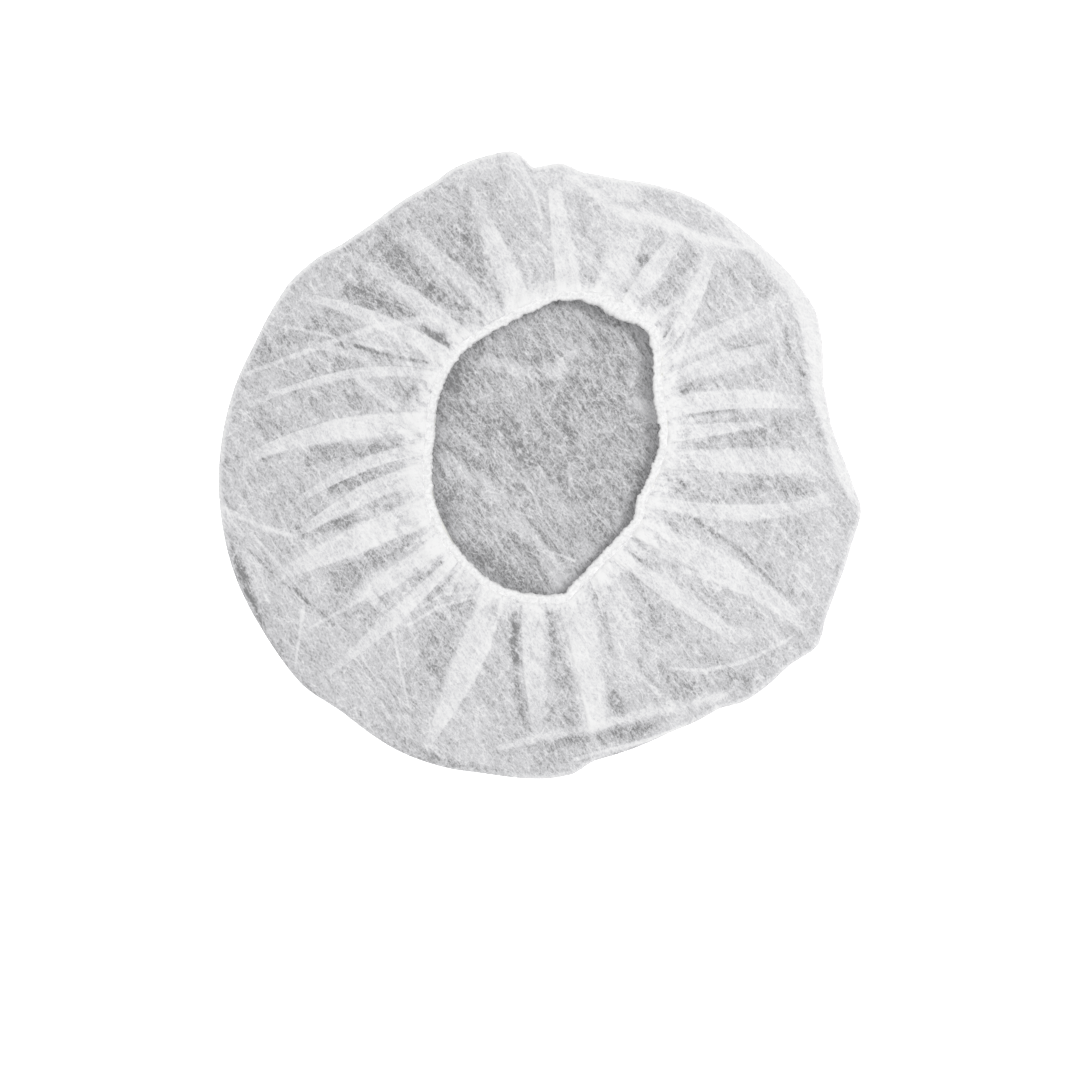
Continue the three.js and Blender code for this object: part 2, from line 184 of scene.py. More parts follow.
def hem_height(degrees):
    """Height of the middle of the hem's roll, in metres."""
    return HEM_TOP * around(HEM_OVAL, "lift", degrees)


turn = np.radians(np.arange(0, 360, 0.25))
outline = rim_reach(np.degrees(turn))[:, None] * np.stack([np.cos(turn), np.sin(turn)], axis=1)
MIDDLE = (outline.max(axis=0) + outline.min(axis=0)) / 2
print("outline in mm:", np.round(np.ptp(outline, axis=0) / MM, 1))

# %% [markdown]
# ## Chance in the cloth
#
# Limp cloth is never quite flat. Its slow waves come from smooth noise: random numbers on a square
# lattice, blended from cell to cell. The seed is fixed, so every run gives the same cloth.


# %% Smooth steps and smooth noise
def smooth(low, high, value):
    """0 below low, 1 above high, and the cubic step 3t² - 2t³ between them."""
    t = np.clip((value - low) / (high - low), 0, 1)
    return t * t * (3 - 2 * t)


def cloth_noise(x, y, seed, cells=128):
    """Smooth noise from -1 to 1 at x and y in cells: lattice values blended by the cubic step."""
    lattice = np.random.default_rng(seed).uniform(-1, 1, (cells, cells))
    column, row = np.floor(x).astype(int), np.floor(y).astype(int)
    across, along = smooth(0, 1, x - column), smooth(0, 1, y - row)
    corner = [lattice[(column + i) % cells, (row + j) % cells] for j in (0, 1) for i in (0, 1)]
    low = corner[0] + (corner[1] - corner[0]) * across
    high = corner[2] + (corner[3] - corner[2]) * across
    return low + (high - low) * along


# %% [markdown]
# ## How a pleat is folded
#
# A pleat is a knife fold: the cloth runs under itself, turns back, and turns over again, so that
# three plies lie on each other, pressed nearly flat. What shows is a low band, steep at the fold and
# gentle where the plies run out. Its section gives sideways places in half widths and heights in
# plies. Where the pleat dies out towards the rim, the section opens into flat cloth: each column of
# the mesh slides from its place in the fold to an even place beside its neighbours.

# %% The section of a pleat and of the cloth between two pleats
SECTION_PLACE = np.array([-1.3, -1.14, -1.02, -0.92, -0.6, -0.2, 0.2, 0.6, 0.85, 1.0, 1.15, 1.3,
                          1.5])
SECTION_PLY = np.array([0.0, 0.25, 1.5, 1.9, 2.0, 1.95, 1.9, 1.85, 1.7, 1.3, 0.7, 0.3, 0.0])
SECTION_SHADE = np.array([0.0, 0.1, 0.8, 1.2, 1.05, 0.95, 0.95, 1.0, 1.0, 0.85, 0.35, 0.1, 0.0])
FOLDED_PLIES = 2.0
WHITENESS = 1.35  # how much whiter than its own plies a pleat looks
LOW_AT_HEM = 0.45  # share of a pleat's height that is left beside the hem
GAP_COLUMNS = 9  # columns of points between two pleats
ROOM = 0.9  # share of the way to the next pleat that a fold may take
RIM_SHARE = 0.62  # share of that way that a pleat's columns spread over at the rim


def pleat_columns(out):
    """Angle, fold height and extra plies of every column, for shares of the way from hem to rim.

    A column's angle is its pleat's line plus its sideways place, which slides from its place in
    the fold to an even one, and never goes past the middle of the gap to the next pleat."""
    rows = np.array(PLEATS, float)
    pleat = {name: rows[:, k][:, None, None] for k, name in enumerate(PLEAT_COLUMNS)}
    line = pleat["hem"] + (pleat["rim"] - pleat["hem"]) * out + 4 * pleat["bow"] * out * (1 - out)
    before = np.roll(line, 1, axis=0)
    before[0] -= 360
    after = np.roll(line, -1, axis=0)
    after[-1] += 360
    room_left, room_right = (line - before) / 2, (after - line) / 2
    reach = hem_reach(line) + (rim_reach(line) - hem_reach(line)) * out
    grown = out / pleat["dies"]
    width = pleat["wide"] + (pleat["middle"] - pleat["wide"]) * np.clip(2 * grown, 0, 1)
    width = width + (pleat["tip"] - pleat["middle"]) * np.clip(2 * grown - 1, 0, 1)
    half = np.degrees(width * MM / 2 / reach)

    lay = pleat["lay"] > 0
    place = SECTION_PLACE[None, :, None]
    side = np.where(lay, place, -place[:, ::-1]) * half
    ply = np.where(lay, SECTION_PLY[None, :, None], SECTION_PLY[None, ::-1, None])
    shade = np.where(lay, SECTION_SHADE[None, :, None], SECTION_SHADE[None, ::-1, None])
    room = np.where(side < 0, room_left, room_right) * ROOM
    widest = np.where(side < 0, -side.min(axis=1, keepdims=True), side.max(axis=1, keepdims=True))
    side = side * np.minimum(1, room / widest)
    even = np.linspace(-1, 1, len(SECTION_PLACE))[None, :, None]
    even = even * np.where(even < 0, room_left, room_right) * RIM_SHARE
    opened = smooth(pleat["dies"] - 0.06, 1.0, out)
    folded = smooth(pleat["dies"] + 0.02, pleat["dies"] - 0.16, out)
    rise = LOW_AT_HEM + (1 - LOW_AT_HEM) * smooth(0, 0.09, out)
    height = ply / FOLDED_PLIES * pleat["tall"] * FOLD * rise * (1 - 0.5 * grown) * folded
    wear = cloth_noise(line / 3, out * 9 + 0 * line, seed=6, cells=120)
    bright = pleat["plies"] * FOLDED_PLIES * WHITENESS * (1 - 0.3 * grown ** 2)
    bright = bright * (0.92 + 0.3 * wear) * folded
    return line + side * (1 - opened) + even * opened, height, shade * bright


def skirt_columns(out):
    """All columns of the skirt in order round the cap: each pleat, then the cloth up to the next."""
    angle, height, shade = pleat_columns(out)
    following = np.roll(angle[:, :1], -1, axis=0)
    following[-1] += 360
    share = (np.arange(1, GAP_COLUMNS + 1) / (GAP_COLUMNS + 1))[None, :, None]
    gap = angle[:, -1:] + (following - angle[:, -1:]) * share
    columns = [np.concatenate(pair, axis=1) for pair in
               ((angle, gap), (height, 0 * gap), (shade, 0 * gap))]
    return [part.reshape(-1, part.shape[-1]).T for part in columns]


# %% [markdown]
# ## Folds that run round the cap
#
# Two long folds cross the pleats: one at the upper right, one at the bottom. Each is a low ridge
# along a line given by its angle and the reach at that angle. The same lines are drawn brighter in
# the cloth's colour, because the folded cloth is thicker there.

# %% The lines of the long folds, degrees and millimetres of reach
LONG_FOLDS = [
    {"at": [45.5, 53.5, 62, 70, 77, 83], "reach": [163, 151, 146, 143, 146, 157]},
    {"at": [262, 269, 278.5, 289.5, 300.5, 309], "reach": [155, 148, 145, 145, 151, 160]},
]
RIDGE_HEIGHT = 1.2 * MM
RIDGE_WIDTH = 2.6 * MM


def ridges(angle, share):
    """Height of the long folds: a bell across each line, faded out at its two ends."""
    reach = hem_reach(angle) + (rim_reach(angle) - hem_reach(angle)) * share
    turned = np.mod(angle, 360)
    total = np.zeros_like(reach)
    for line in LONG_FOLDS:
        away = (reach - np.interp(turned, line["at"], line["reach"]) * MM) / RIDGE_WIDTH
        ends = smooth(line["at"][0] - 3, line["at"][0] + 3, turned)
        ends = ends * smooth(line["at"][-1] + 3, line["at"][-1] - 3, turned)
        total += RIDGE_HEIGHT * np.exp(-away ** 2) * ends
    return total


# %% [markdown]
# ## The cloth as one sheet
#
# The sheet is a grid: steps run from the middle of the crown out to the rim, round its bend and back
# over the skirt to the hem, and columns run round the cap. Every step holds a whole ring of points.

# %% Steps of the sheet
CROWN_STEPS = np.concatenate([np.linspace(0.04, 0.62, 14), np.linspace(0.75, 1.0, 4)])
BEND_ANGLES = np.linspace(-90, 90, 7)[1:-1]
SKIRT_STEPS = 1 - np.concatenate([np.linspace(0, 0.88, 48), np.linspace(0.89, 1.0, 12)])
RUFFLE = 1.3 * MM  # height of the small gathers beside the hem
GATHERED = 0.24  # share of the skirt that they reach over
SHOULDER = 2.3 * MM  # how far the cloth climbs up the side of the hem


def billows(x, y):
    """Slow waves of the cloth in metres: three sizes of smooth noise."""
    return (0.8 * MM * cloth_noise(x / (34 * MM) + 9, y / (34 * MM) + 7, seed=11)
            + 0.35 * MM * cloth_noise(x / (12 * MM) + 3, y / (12 * MM) + 5, seed=12)
            + 0.15 * MM * cloth_noise(x / (5 * MM) + 3, y / (5 * MM) + 5, seed=13))


def gathers(angle, out):
    """Small gathers beside the hem from 0 to 1: noise that is long outwards and narrow round it."""
    narrow = cloth_noise(angle / 2.25, out * 9 + 0 * angle, seed=5, cells=160)
    broad = cloth_noise(angle / 4.5, out * 5 + 0 * angle, seed=7, cells=80)
    return np.clip(0.5 + 0.6 * narrow + 0.35 * broad, 0, 1) * smooth(GATHERED, 0.02, out)


def polar(degrees, reach, height):
    """Points in metres from an angle, a reach and a height, with the cap's box over the origin."""
    angle = np.radians(degrees)
    plan = [reach * np.cos(angle) - MIDDLE[0], reach * np.sin(angle) - MIDDLE[1]]
    return np.stack(plan + [height + 0 * angle], axis=-1)


def crown_rings(rim_angle):
    """The crown: rings at shares of the reach, lifted a little off the surface by its creases."""
    share = CROWN_STEPS[:, None]
    reach = share * (rim_reach(rim_angle) - RIM_BEND)
    flat = polar(rim_angle, reach, 0 * reach)
    waves = np.abs(billows(flat[..., 0], flat[..., 1])) * smooth(1.0, 0.8, share)
    waves = waves * smooth(0.02, 0.16, share)
    flat[..., 2] = CLOTH / 2 + waves
    return flat


def bend_rings(rim_angle):
    """The rim: a half circle of the bend's radius, from under the cap to its top."""
    lean = np.radians(BEND_ANGLES)[:, None]
    reach = rim_reach(rim_angle) - RIM_BEND + (RIM_BEND - CLOTH / 2) * np.cos(lean)
    return polar(rim_angle + 0 * lean, reach, RIM_BEND + (RIM_BEND - CLOTH / 2) * np.sin(lean))


def skirt_rings():
    """The skirt: a puffed slope from rim to hem, with the pleats, gathers and slow waves on it."""
    angle, fold, shade = skirt_columns(SKIRT_STEPS)
    out = SKIRT_STEPS[:, None]
    rim, hem = rim_reach(angle) - RIM_BEND, hem_reach(angle)
    top = 2 * RIM_BEND - CLOTH / 2
    slope = hem_height(angle) + (top - hem_height(angle)) * out
    puff = PUFF * np.sin(np.pi * out)
    ruffles = RUFFLE * gathers(angle, out) * smooth(0, 0.05, out)
    shoulder = SHOULDER * smooth(0, 0.03, out) * smooth(0.2, 0.02, out)
    points = polar(angle, hem + (rim - hem) * out, slope + puff + fold + ruffles + shoulder)
    calm = smooth(0, 0.15, out) * smooth(1.0, 0.9, out)
    points[..., 2] += calm * (billows(points[..., 0] + 0.4, points[..., 1]) + ridges(angle, out))
    return points, angle, shade


# %% [markdown]
# ## Cloth that shows through
#
# The cloth is so thin that the folds under the top ply show through it: pale where more plies lie
# below, dark where the cloth pulls apart to one ply. Each is a straight band that widens or narrows
# from one place to another. Their sum is stored at the points as a number of plies, and the
# material turns plies into whiteness.

# %% Plies that the skirt has between its pleats, and the bands seen through it
SKIRT_PLIES = {
    "at": [0, 30, 45, 55, 65, 78, 90, 100, 112, 125, 140, 155, 170, 185, 205, 220, 236, 248, 258,
           272, 285, 300, 315, 330, 345],
    "plies": [2.8, 2.8, 2.8, 3.2, 3.2, 3.1, 2.8, 2.2, 1.8, 1.8, 2.1, 2.2, 2.3, 2.2, 2.3, 2.4, 2.2,
              2.2, 2.3, 2.1, 2.4, 2.3, 2.5, 2.7, 2.5],
}
# Each row: degrees and millimetres of reach at one end, the same at the other, the width there
# and there in millimetres, and the plies that it adds or takes.
SEEN_BANDS = [
    (54.3, 107, 52.8, 123, 9, 11, -1.1),
    (45, 95, 44, 107, 9, 10, -0.8),
    (29, 86, 27.3, 99, 8, 10, -1.2),
    (18, 86, 15.5, 112, 3.5, 3, -1.6),
    (13, 92, 11.9, 106, 3, 4.5, -1.5),
    (11.9, 106, 12.9, 121, 4.5, 4, -1.0),
    (7.2, 84, 6.7, 123, 3, 13, -1.2),
    (7, 126, 7, 152, 20, 20, -0.5),
    (23, 105, 22.5, 140, 10, 11, -0.5),
    (31, 120, 28.5, 140, 4, 5, -0.8),
    (45, 125, 41, 158, 16, 28, -0.5),
    (66, 157, 54, 156, 10, 12, -0.5),
    (69, 157, 66.5, 160, 7, 6, -0.7),
    (63.3, 122, 63.4, 143, 9, 13, -0.9),
    (55, 127, 55, 142, 11, 12, -0.7),
    (60, 105, 63.2, 125, 3.5, 6, -1.0),
    (73.5, 100, 74.5, 120, 5, 6, -0.6),
    (82, 126, 81, 152, 14, 16, -0.35),
    (90, 161, 84, 157, 12, 14, 0.5),
    (84, 157, 71, 156, 16, 15, 0.9),
    (104, 161, 95, 162, 10, 14, 0.4),
    (107, 103, 110.5, 138, 7, 24, -0.8),
    (116.2, 92, 122.2, 112, 3, 9, -1.0),
    (122.2, 112, 126, 148, 9, 15, -1.1),
    (131, 112, 134.5, 142, 6, 9, -0.5),
    (130.5, 104, 138.1, 142, 8, 11, -1.2),
    (126.7, 80, 131, 97, 3.5, 4.5, -1.4),
    (145.5, 122, 147.5, 148, 5, 5, -0.7),
    (148.5, 126, 154, 155, 6, 8, -0.6),
    (158.4, 150, 158.4, 163, 12, 12, -0.4),
    (151, 110, 157, 135, 5, 6, -0.5),
    (160, 100, 165, 138, 10, 18, -0.6),
    (170, 132, 170.5, 152, 8, 9, -0.4),
    (173.2, 78, 177.5, 125, 2.5, 13, -1.1),
    (177.5, 137, 179.3, 172, 3, 3, -1.0),
    (165.5, 66, 166, 74, 5, 5, -1.3),
    (150, 76, 153, 88, 4, 5, -1.1),
    (184, 91, 187, 115, 8, 6, -0.9),
    (196.7, 103, 196, 134, 5, 9, -1.1),
    (209, 78, 210.5, 128, 6, 15, -1.0),
    (225.7, 74, 223.2, 91, 3, 4, -1.5),
    (231.5, 84, 230, 94, 4, 4, -0.8),
    (238, 86, 244, 138, 10, 28, -0.6),
    (223, 116, 223.5, 134, 8, 8, -0.6),
    (218, 143, 220, 162, 13, 14, -0.4),
    (260.7, 82, 262.8, 108, 4, 4, -1.9),
    (262.8, 108, 267, 146, 3.5, 6, -1.0),
    (274, 84, 277, 147, 3, 14, -0.9),
    (293, 90, 291.5, 106, 3, 3, -1.0),
    (287, 130, 288.5, 143, 8, 5, -1.4),
    (273, 151, 280, 150, 9, 10, -0.6),
    (282.5, 151, 287.5, 152, 8, 9, -1.2),
    (288.8, 154, 293.5, 154, 7, 4, -1.3),
    (298.5, 126, 303.5, 152, 15, 14, -0.8),
    (297, 154, 309, 160, 9, 6, 0.8),
    (308, 122, 313, 150, 10, 12, -0.6),
    (308, 155, 315, 163, 9, 9, -0.6),
    (311, 84, 306.5, 116, 6, 14, -0.6),
    (309.6, 78, 314, 98, 3, 5, -0.9),
    (314.4, 65, 315.8, 81, 5, 5, -1.4),
    (323, 90, 325, 97, 3, 3, -0.7),
    (346, 118, 344, 152, 16, 20, -0.5),
    (351.5, 86, 351, 125, 12, 14, -0.4),
    (355.3, 116, 354.8, 148, 8, 9, -1.1),
    (349, 155, 335, 163, 18, 20, 0.3),
    (195.9, 165, 206.8, 166, 6, 7, 1.0),
    (127.7, 98, 120.5, 80, 7, 9, 0.9),
    (282, 96, 281, 148, 9, 9, 0.4),
    (205, 75, 204, 108, 12, 14, 0.5),
    (217.5, 80, 215, 118, 7, 7, 0.4),
    (230, 92, 226.5, 120, 8, 8, 0.5),
    (136.3, 80, 143.4, 118, 12, 13, 0.7),
    (160, 78, 172, 98, 10, 12, 0.4),
]
BAND_EDGE = 1.1 * MM  # how softly a band's sides fade
BAND_DEPTH = 1.3  # how much of a band's plies shows
BAND_SHAKE = 1.1 * MM  # how far noise pushes a band's edge
SHAKE_CELL = 7 * MM


def seen_bands(x, y):
    """Plies added at places in metres: each band is 1 inside its narrowing sides, with soft edges.

    The places are first pushed about by noise, so that no edge is ruled."""
    pushed_x = x + BAND_SHAKE * cloth_noise(x / SHAKE_CELL + 20, y / SHAKE_CELL + 20, seed=31)
    pushed_y = y + BAND_SHAKE * cloth_noise(x / SHAKE_CELL + 50, y / SHAKE_CELL + 50, seed=32)
    total = np.zeros_like(x)
    for at, reach, to, to_reach, wide, to_wide, plies in SEEN_BANDS:
        start = polar(at, reach * MM, 0.0)
        run = polar(to, to_reach * MM, 0.0) - start
        length = np.hypot(run[0], run[1])
        run = run / length
        along = (pushed_x - start[0]) * run[0] + (pushed_y - start[1]) * run[1]
        across = np.abs((pushed_y - start[1]) * run[0] - (pushed_x - start[0]) * run[1])
        half = (wide + (to_wide - wide) * np.clip(along / length, 0, 1)) * MM / 2
        inside = smooth(BAND_EDGE, -BAND_EDGE, across - half) * smooth(-2 * BAND_EDGE, 0, along)
        total += BAND_DEPTH * plies * inside * smooth(length + 2 * BAND_EDGE, length, along)
    return total


# %% Creases that are wide enough for the mesh
# Each row: places in degrees and millimetres, the widths there, and the plies that it adds.
# The rows that take plies are painted shade: the band between the long fold at the bottom and the rim,
# and the darker rim at the lower left, which faces away from the lamp.
WIDE_CREASES_AND_SHADE = [
    {"at": LONG_FOLDS[0]["at"], "reach": LONG_FOLDS[0]["reach"],
     "wide": [3.0, 5.0, 6.2, 6.0, 4.6, 2.6], "plies": 2.3},
    {"at": LONG_FOLDS[1]["at"], "reach": LONG_FOLDS[1]["reach"],
     "wide": [2.6, 4.0, 4.8, 5.2, 4.6, 3.4], "plies": 2.2},
    {"at": [268, 278, 290, 301], "reach": [153, 150.5, 151.5, 157], "wide": [2.6, 4.4, 4.4, 2.6],
     "plies": -0.8},
    {"at": [52, 46, 39, 32, 26, 20, 12, 6, 0, -6],
     "reach": [166, 166.4, 167.2, 167.0, 162.8, 158, 155.8, 159.2, 162.8, 170],
     "wide": [5, 8, 9, 9, 9, 8.5, 8, 8, 8.5, 4], "plies": 3.2},
    {"at": [195, 203, 211], "reach": [172.5, 173, 173], "wide": [2, 6, 2], "plies": -2.8},
    {"at": [96, 104, 111, 118, 126], "reach": [166, 165, 159, 155, 155], "wide": [8, 8, 7, 6, 4],
     "plies": 0.7},
    {"at": [232, 240, 247, 254, 262], "reach": [167, 167.5, 168, 167, 168],
     "wide": [2, 4.5, 5.5, 5.5, 3.0], "plies": -0.9},
]


def wide_creases_and_shade(x, y):
    """Plies that the wide creases add at places in metres, and painted shade where a row takes plies.

    A crease adds all its plies within 0.6 of its half width from its line, and none past 1.3."""
    total = np.zeros_like(x)
    for crease in WIDE_CREASES_AND_SHADE:
        places = polar(np.array(crease["at"], float), np.array(crease["reach"]) * MM, 0)
        half = np.array(crease["wide"]) * MM / 2
        most = np.zeros_like(x)
        for k, (start, end) in enumerate(zip(places[:-1], places[1:])):
            run = end - start
            share = ((x - start[0]) * run[0] + (y - start[1]) * run[1]) / (run @ run)
            share = np.clip(share, 0, 1)
            away = np.hypot(x - start[0] - share * run[0], y - start[1] - share * run[1])
            edge = half[k] + (half[k + 1] - half[k]) * share
            most = np.maximum(most, smooth(1.3, 0.6, away / edge))
        total += crease["plies"] * most
    return total


# %% [markdown]
# ## From a sheet to a thin wall
#
# The sheet has no thickness yet. Its normals come from the cross product of the steps along and
# round it, and the two skins lie half the cloth's thickness either side. The skins join at the hem,
# inside the roll, and close with one point each in the middle of the crown.


# %% Making the wall
def sheet_normals(points):
    """Unit normals of a closed-round grid, outwards: step round crossed with step along."""
    along = np.gradient(points, axis=0)
    round_ = np.roll(points, -1, axis=1) - np.roll(points, 1, axis=1)
    normal = np.cross(round_, along)
    return normal / np.maximum(np.linalg.norm(normal, axis=-1, keepdims=True), 1e-12)


def ring_faces(rings, columns, first=0):
    """Corner numbers of the quads between rings of a closed-round grid."""
    ring = np.arange(rings - 1)[:, None] * columns
    here = np.arange(columns)[None, :]
    after = (here + 1) % columns
    quads = np.stack([ring + here, ring + after, ring + columns + after, ring + columns + here])
    return quads.reshape(4, -1).T + first


def mesh_piece(name, points, quads, fans=()):
    """A mesh object at the origin from points, quads and fans of triangles, shaded smooth."""
    mesh = bpy.data.meshes.new(name)
    faces = quads.tolist() + [corner for fan in fans for corner in fan.tolist()]
    mesh.from_pydata(points.tolist(), [], faces)
    mesh.polygons.foreach_set("use_smooth", np.ones(len(mesh.polygons), bool))
    mesh.update()
    piece = bpy.data.objects.new(name, mesh)
    bpy.context.scene.collection.objects.link(piece)
    return piece


def paint(piece, name, values):
    """Store a number or a vector per point, for the material to read as an attribute."""
    kind, part = ("FLOAT_VECTOR", "vector") if values.ndim == 2 else ("FLOAT", "value")
    layer = piece.data.attributes.new(name, kind, "POINT")
    layer.data.foreach_set(part, values.astype(np.float32).ravel())


# %% Building the cloth
skirt, skirt_angle, pleat_plies = skirt_rings()
rim_angle = skirt_angle[:1]
crown, bend = crown_rings(rim_angle), bend_rings(rim_angle)
sheet = np.concatenate([crown, bend, skirt])
normals = sheet_normals(sheet)
rings, columns = sheet.shape[:2]

skins = np.concatenate([sheet + normals * CLOTH / 2, (sheet - normals * CLOTH / 2)[::-1]])
pole_height = float(crown[0, :, 2].mean())
poles = np.array([[-MIDDLE[0], -MIDDLE[1], pole_height - CLOTH / 2],
                  [-MIDDLE[0], -MIDDLE[1], pole_height + CLOTH / 2]])
points = np.concatenate([skins.reshape(-1, 3), poles])
first_pole = 2 * rings * columns
here = np.arange(columns)
after = (here + 1) % columns
last_ring = (2 * rings - 1) * columns
outer_fan = np.stack([np.full(columns, first_pole), after, here], axis=1)
inner_fan = np.stack([last_ring + here, last_ring + after, np.full(columns, first_pole + 1)], axis=1)
cloth = mesh_piece("bouffant_cloth", points, ring_faces(2 * rings, columns), (outer_fan, inner_fan))
print(f"cloth: {rings} rings of {columns} points, {4 * rings * columns} triangles")

# %% [markdown]
# ## What the cloth's material reads
#
# A material sees a point's place but not how many plies lie there, so the count is stored at the
# points. So are places for the gathers' noise. It could run in flat X and Y, but gathers fan out from
# the hem, so its places are wrapped round a drum of the hem's size, with the way out along its axis.

# %% Plies at each point
# Plies seen on the rim's bend. The low values from about 197 to 262 degrees are painted shade on the
# rim at the lower left, which faces away from the lamp.
RIM_PLIES_AND_PAINTED_SHADE = {  # the turned edge is seen on its side, so it looks thicker
    "at": [0, 60, 95, 120, 150, 190, 197, 240, 262, 270, 330],
    "plies": [5.5, 6.5, 7, 6.5, 5, 4.4, 1.8, 1.6, 2.2, 4.5, 4.6],
}
CELL_DEPTH = 2.4  # plies that a dark place among the gathers loses
NEAR_PLIES = 3.0  # plies that the crowded gathers add beside the hem
HIDDEN = 0.75  # share of a dark band that a pleat on top of it hides


def skirt_plies():
    """Plies over the skirt: its own, the pleats', the bands', the wide creases' and their painted
    shade, and the gathers' beside the hem.
    """
    out = SKIRT_STEPS[:, None]
    own = around(SKIRT_PLIES, "plies", skirt_angle)
    seen = seen_bands(skirt[..., 0], skirt[..., 1])
    creased_and_shaded = wide_creases_and_shade(skirt[..., 0], skirt[..., 1])
    covered = np.clip(pleat_plies, 0, 1)
    seen = np.where(seen < 0, seen * (1 - HIDDEN * covered), seen)
    near = smooth(0.17, 0.03, out)
    sway = 0.5 * cloth_noise(skirt_angle / 3, out * 9 + 0 * skirt_angle, seed=41, cells=120)
    cells = cloth_noise(skirt_angle / 2.25, out * 14 + sway, seed=42, cells=160)
    dark_cells = CELL_DEPTH * smooth(0.15, 0.7, cells) * smooth(0.26, 0.05, out)
    return own + pleat_plies + seen + creased_and_shaded + NEAR_PLIES * near - dark_cells


def both_skins(values, at_poles):
    """A sheet's values for the points of both skins, the second in reverse order, then the poles."""
    each = values.reshape(rings, columns, -1)
    flat = np.concatenate([each, each[::-1]]).reshape(2 * rings * columns, -1)
    return np.squeeze(np.concatenate([flat, np.full((2, flat.shape[1]), at_poles)]))


plies = np.ones((rings, columns))
plies[len(crown) + 1:len(crown) + len(bend)] = around(RIM_PLIES_AND_PAINTED_SHADE, "plies", rim_angle)
plies[len(crown) + len(bend):] = skirt_plies()
paint(cloth, "plies", both_skins(plies, 1.0))
on_skirt = np.zeros((rings, columns))
on_skirt[len(crown) + len(bend) // 2:] = 1.0
paint(cloth, "on_skirt", np.concatenate([on_skirt.ravel(), 0 * on_skirt.ravel(), [0, 0]]))

# %% Places on the drum, and how strongly the gathers show
DRUM = 0.072  # radius in metres, about the hem's
wrapped = np.zeros((rings, columns, 3))
turned = np.radians(skirt_angle)
way_out = SKIRT_STEPS[:, None] * (rim_reach(skirt_angle) - hem_reach(skirt_angle))
wrapped[-len(skirt):] = np.stack([DRUM * np.cos(turned), DRUM * np.sin(turned), way_out], axis=-1)
gathered = np.zeros((rings, columns))
far, close = smooth(0.75, 0.1, SKIRT_STEPS), smooth(0.28, 0.02, SKIRT_STEPS)
gathered[-len(skirt):] = (0.1 + 0.3 * far + 0.6 * close)[:, None]
paint(cloth, "wrapped", both_skins(wrapped, 0.0))
paint(cloth, "gathered", both_skins(gathered, 0.0))
print("plies over the skirt:", np.round(np.percentile(plies, [1, 25, 50, 75, 99]), 2))

# %% [markdown]
# ## The gathered hem
#
# The sheet's edge is folded over the elastic and stitched, which shirs it into a firm round roll.
# It is a tube along the hem's oval. Its radius swells where the gathers bunch up, and fine ripples
# cross it, each leaning a little round the roll as twisted gathers do.

# %% Building the hem's roll
ROLL_STATIONS = 1800
ROLL_SIDES = 24
SHIRR = 2.4 * MM  # spacing of the gathers along the roll
SQUARENESS = 2 / 3  # power of the section's sine and cosine: 1 is round, 0 is square


def hem_roll():
    """Points of the roll: the oval's place, plus a rounded square in the plane square to it.

    The section's places are the cosine and sine, with their sizes to the power SQUARENESS."""
    degrees = np.linspace(0, 360, ROLL_STATIONS, endpoint=False)
    middle = polar(degrees, hem_reach(degrees), hem_height(degrees))
    along = np.roll(middle, -1, axis=0) - np.roll(middle, 1, axis=0)
    outward = np.stack([along[:, 1], -along[:, 0], 0 * along[:, 0]], axis=1)
    outward /= np.linalg.norm(outward, axis=1, keepdims=True)
    run = np.cumsum(np.linalg.norm(np.roll(middle, -1, axis=0) - middle, axis=1))[:, None]
    side = np.radians(np.linspace(0, 360, ROLL_SIDES, endpoint=False))[None, :]
    across = np.sign(np.cos(side)) * np.abs(np.cos(side)) ** SQUARENESS
    up = np.sign(np.sin(side)) * np.abs(np.sin(side)) ** SQUARENESS
    lean = run / SHIRR + 0.35 * np.sin(side + run / (9 * MM))
    size = 1 + 0.06 * cloth_noise(lean, 0.8 * across + 4, seed=21, cells=186)
    size = size + 0.06 * cloth_noise(run / (7 * MM), 0.5 * up + 8, seed=22, cells=64)
    size = size + 0.05 * cloth_noise(run / (0.9 * MM), 2.0 * side + 8, seed=23, cells=496)
    radius = ROLL * around(HEM_OVAL, "swell", degrees)[:, None] * size
    teeth = 0.5 * MM * cloth_noise(run / (2.6 * MM), 1.2 * across + 9, seed=24, cells=172)
    teeth = teeth + 0.35 * MM * cloth_noise(run / (1.1 * MM), 2 * across + 9, seed=25, cells=406)
    section = outward[:, None] * (radius * across + teeth * across ** 2)[..., None]
    section[..., 2] += radius * up
    return middle[:, None] + section


roll = hem_roll()
station = np.arange(ROLL_STATIONS)[:, None] * ROLL_SIDES
next_station = np.roll(station, -1, axis=0)
side = np.arange(ROLL_SIDES)[None, :]
next_side = (side + 1) % ROLL_SIDES
roll_quads = np.stack([station + side, next_station + side, next_station + next_side,
                       station + next_side]).reshape(4, -1).T
hem = mesh_piece("gathered_hem", roll.reshape(-1, 3), roll_quads)
print("hem roll:", len(roll_quads) * 2, "triangles")

# %% [markdown]
# ## Colours and nodes
#
# Colours are written as they look on a screen, in hex, and turned into the linear values that
# Blender works in. One small function adds a node with its settings and links.


# %% Helpers for materials
def linear(colour):
    """Linear RGBA of an sRGB hex colour: each channel through the sRGB curve."""
    channel = np.array([int(colour[i:i + 2], 16) for i in (1, 3, 5)]) / 255
    value = np.where(channel <= 0.04045, channel / 12.92, ((channel + 0.055) / 1.055) ** 2.4)
    return (*value.tolist(), 1.0)


